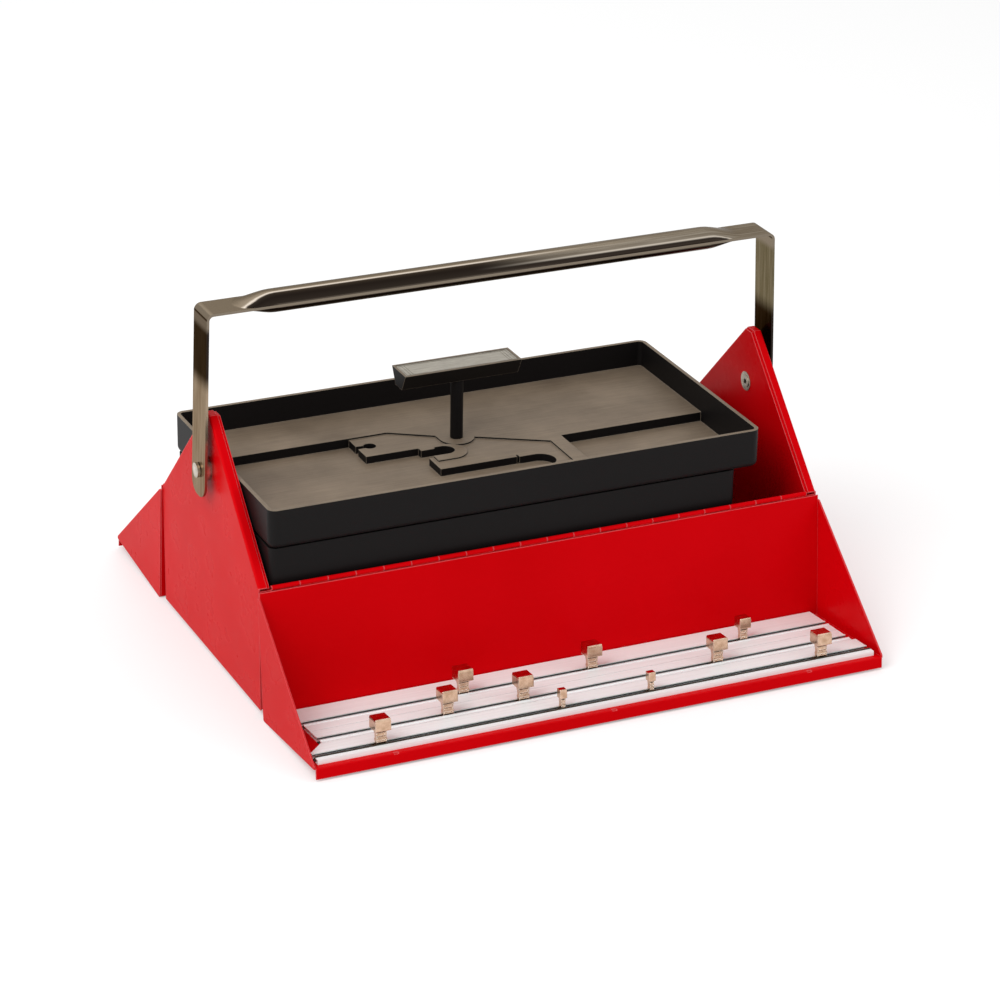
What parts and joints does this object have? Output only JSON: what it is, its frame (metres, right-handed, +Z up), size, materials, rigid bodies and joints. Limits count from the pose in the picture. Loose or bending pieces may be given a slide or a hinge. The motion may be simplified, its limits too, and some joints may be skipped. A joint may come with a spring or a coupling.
{
  "type": "two-lid steel tool box",
  "caption": "Steel tool box with gabled ends, two hinged lids opening outwards, a carrying bail, a lift-out tray, a lower bin and socket rails with sliding clips.",
  "frame": {"origin": "centre of the box on the ground under its rubber feet", "axes": "+X along the box and both lid hinges, -Y towards the front lid, +Z up"},
  "size_m": [0.4364, 0.3926, 0.2636],
  "materials": {
    "red_paint": "gloss",
    "nickel_plate": "polished",
    "zinc_steel": "satin",
    "rail_aluminium": "bright extruded",
    "clip_steel": "plated",
    "black_plastic": "fine grained",
    "plate_metal": "satin",
    "black_rubber": "matte"
  },
  "bodies": {
    "body": {"body_tub": "red_paint", "left_end_plate": "red_paint", "right_end_plate": "red_paint", "left_gable_liner": "red_paint", "right_gable_liner": "red_paint", "front_hinge_body_leaf": "red_paint", "front_hinge_pin": "zinc_steel", "rear_hinge_body_leaf": "red_paint", "rear_hinge_pin": "zinc_steel", "left_pivot_spacer": "zinc_steel", "left_pivot_washer": "zinc_steel", "left_pivot_rivet": "zinc_steel", "right_pivot_spacer": "zinc_steel", "right_pivot_washer": "zinc_steel", "right_pivot_rivet": "zinc_steel", "rubber_feet": "black_rubber", "foot_rivets": "zinc_steel"},
    "front_lid": {"front_lid_panel": "red_paint", "front_lid_left_end": "red_paint", "front_lid_right_end": "red_paint", "front_hinge_lid_leaf": "red_paint", "back_rail": "rail_aluminium", "middle_rail": "rail_aluminium", "front_rail": "rail_aluminium", "rail_rivets": "rail_aluminium"},
    "rear_lid": {"rear_lid_panel": "red_paint", "rear_lid_left_end": "red_paint", "rear_lid_right_end": "red_paint", "rear_hinge_lid_leaf": "red_paint"},
    "handle": {"handle_bail": "nickel_plate"},
    "lower_bin": {"bottom_bin": "black_plastic"},
    "lift_tray": {"tray": "black_plastic", "tray_grip": "black_plastic", "tray_grip_plate": "plate_metal", "tray_grip_screw": "zinc_steel"},
    "back_clip_1": {"back_clip_1": "clip_steel"},
    "back_clip_2": {"back_clip_2": "clip_steel"},
    "back_clip_3": {"back_clip_3": "clip_steel"},
    "middle_clip_1": {"middle_clip_1": "clip_steel"},
    "middle_clip_2": {"middle_clip_2": "clip_steel"},
    "middle_clip_3": {"middle_clip_3": "clip_steel"},
    "front_clip_1": {"front_clip_1": "clip_steel"},
    "front_clip_2": {"front_clip_2": "clip_steel"},
    "front_clip_3": {"front_clip_3": "clip_steel"},
    "front_clip_4": {"front_clip_4": "clip_steel"}
  },
  "joints": [
    {"name": "front_lid_hinge", "type": "hinge", "parent": "body", "child": "front_lid", "pos_m": [0, -0.0946, 0.0927], "axis": [1, 0, 0], "range_deg": [-175, 0]},
    {"name": "rear_lid_hinge", "type": "hinge", "parent": "body", "child": "rear_lid", "pos_m": [0, 0.0946, 0.0927], "axis": [-1, 0, 0], "range_deg": [-175, 0]},
    {"name": "handle_pivot", "type": "hinge", "parent": "body", "child": "handle", "pos_m": [0, 0, 0.1424], "axis": [1, 0, 0], "range_deg": [-90, 90]},
    {"name": "bin_lift", "type": "slide", "parent": "body", "child": "lower_bin", "axis": [0, 0, 1], "range_m": [0, 0.055]},
    {"name": "tray_lift", "type": "slide", "parent": "lower_bin", "child": "lift_tray", "axis": [0, 0, 1], "range_m": [0, 0.055]},
    {"name": "back_clip_1_slide", "type": "slide", "parent": "front_lid", "child": "back_clip_1", "axis": [1, 0, 0], "range_m": [-0.109, 0.041]},
    {"name": "back_clip_2_slide", "type": "slide", "parent": "front_lid", "child": "back_clip_2", "axis": [1, 0, 0], "range_m": [-0.041, 0.052]},
    {"name": "back_clip_3_slide", "type": "slide", "parent": "front_lid", "child": "back_clip_3", "axis": [1, 0, 0], "range_m": [-0.053, 0.061]},
    {"name": "middle_clip_1_slide", "type": "slide", "parent": "front_lid", "child": "middle_clip_1", "axis": [1, 0, 0], "range_m": [-0.085, 0.021]},
    {"name": "middle_clip_2_slide", "type": "slide", "parent": "front_lid", "child": "middle_clip_2", "axis": [1, 0, 0], "range_m": [-0.021, 0.066]},
    {"name": "middle_clip_3_slide", "type": "slide", "parent": "front_lid", "child": "middle_clip_3", "axis": [1, 0, 0], "range_m": [-0.066, 0.095]},
    {"name": "front_clip_1_slide", "type": "slide", "parent": "front_lid", "child": "front_clip_1", "axis": [1, 0, 0], "range_m": [-0.033, 0.059]},
    {"name": "front_clip_2_slide", "type": "slide", "parent": "front_lid", "child": "front_clip_2", "axis": [1, 0, 0], "range_m": [-0.062, 0.029]},
    {"name": "front_clip_3_slide", "type": "slide", "parent": "front_lid", "child": "front_clip_3", "axis": [1, 0, 0], "range_m": [-0.029, 0.061]},
    {"name": "front_clip_4_slide", "type": "slide", "parent": "front_lid", "child": "front_clip_4", "axis": [1, 0, 0], "range_m": [-0.058, 0.023]}
  ]
}
